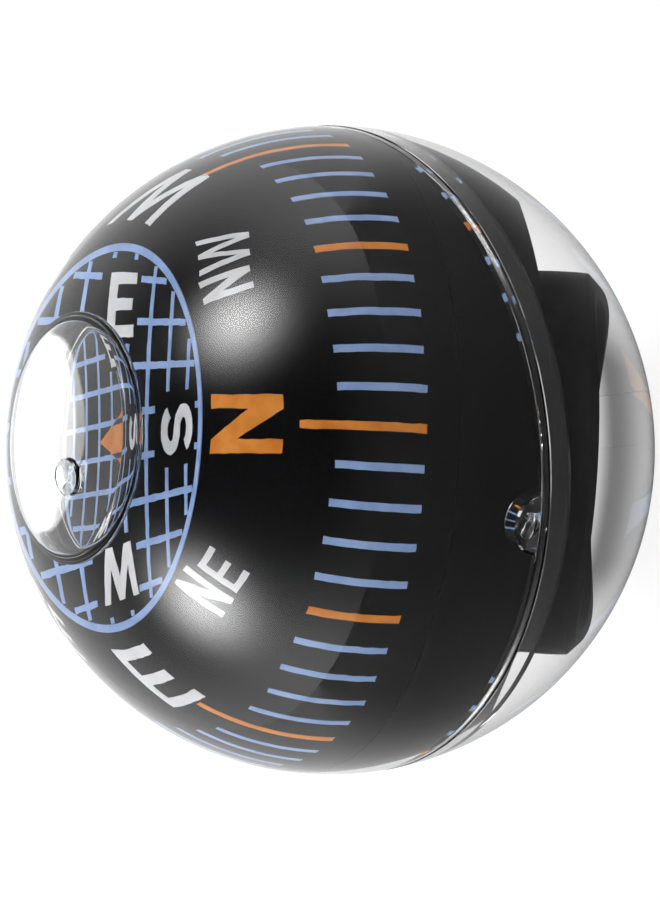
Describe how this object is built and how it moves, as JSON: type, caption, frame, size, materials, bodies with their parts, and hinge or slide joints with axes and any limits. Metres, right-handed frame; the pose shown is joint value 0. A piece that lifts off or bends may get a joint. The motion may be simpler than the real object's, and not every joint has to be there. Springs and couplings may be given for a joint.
{
  "type": "dashboard ball compass",
  "caption": "Clear liquid-filled ball with a black printed compass dial that levels itself and turns on a needle inside.",
  "frame": {"origin": "centre of the clear ball, which is also the point of the needle that carries the dial", "axes": "+Z is plumb and along the dial's axis, with the air bubble and the dial's pole at +Z; the dial's north mark faces -Y; the ball's own axis leans 20.43 degrees from +Z as in the picture"},
  "size_m": [0.045, 0.045, 0.045],
  "materials": {
    "clear_shell": "polished clear acrylic",
    "clear_seal": "clear seal",
    "clear_post": "polished clear acrylic",
    "pivot_steel": "polished",
    "jewel_glass": "polished",
    "bush_brass": "turned",
    "dial_black": "satin black moulding",
    "magnet_ferrite": "sintered dark ferrite",
    "float_foam": "closed-cell foam",
    "liquid": "clear damping liquid",
    "print_white": "printed ink",
    "print_blue": "printed ink",
    "print_orange": "printed ink"
  },
  "bodies": {
    "case": {"upper_dome": "clear_shell", "lower_bowl": "clear_shell", "seam_seal": "clear_seal", "fill_plug": "clear_shell", "pivot_post": "clear_post"},
    "needle": {"pivot_needle": "pivot_steel"},
    "jewel": {"jewel_cup": "jewel_glass"},
    "dial": {"jewel_bush": "bush_brass", "dial_hub": "dial_black", "dial_cap": "dial_black", "dial_skirt": "dial_black", "ring_magnet": "magnet_ferrite", "float_ring": "float_foam"}
  },
  "joints": [
    {"name": "needle_turn", "type": "hinge", "parent": "case", "child": "needle", "pos_m": [0, 0, 0], "axis": [-0.1565, -0.312, 0.9371], "continuous": true},
    {"name": "dial_lean", "type": "hinge", "parent": "needle", "child": "jewel", "pos_m": [0, 0, 0], "axis": [0.8939, -0.4482, 0], "range_deg": [-2.57, 43.43]},
    {"name": "dial_heading", "type": "hinge", "parent": "jewel", "child": "dial", "pos_m": [0, 0, 0], "axis": [0, 0, 1], "continuous": true}
  ]
}
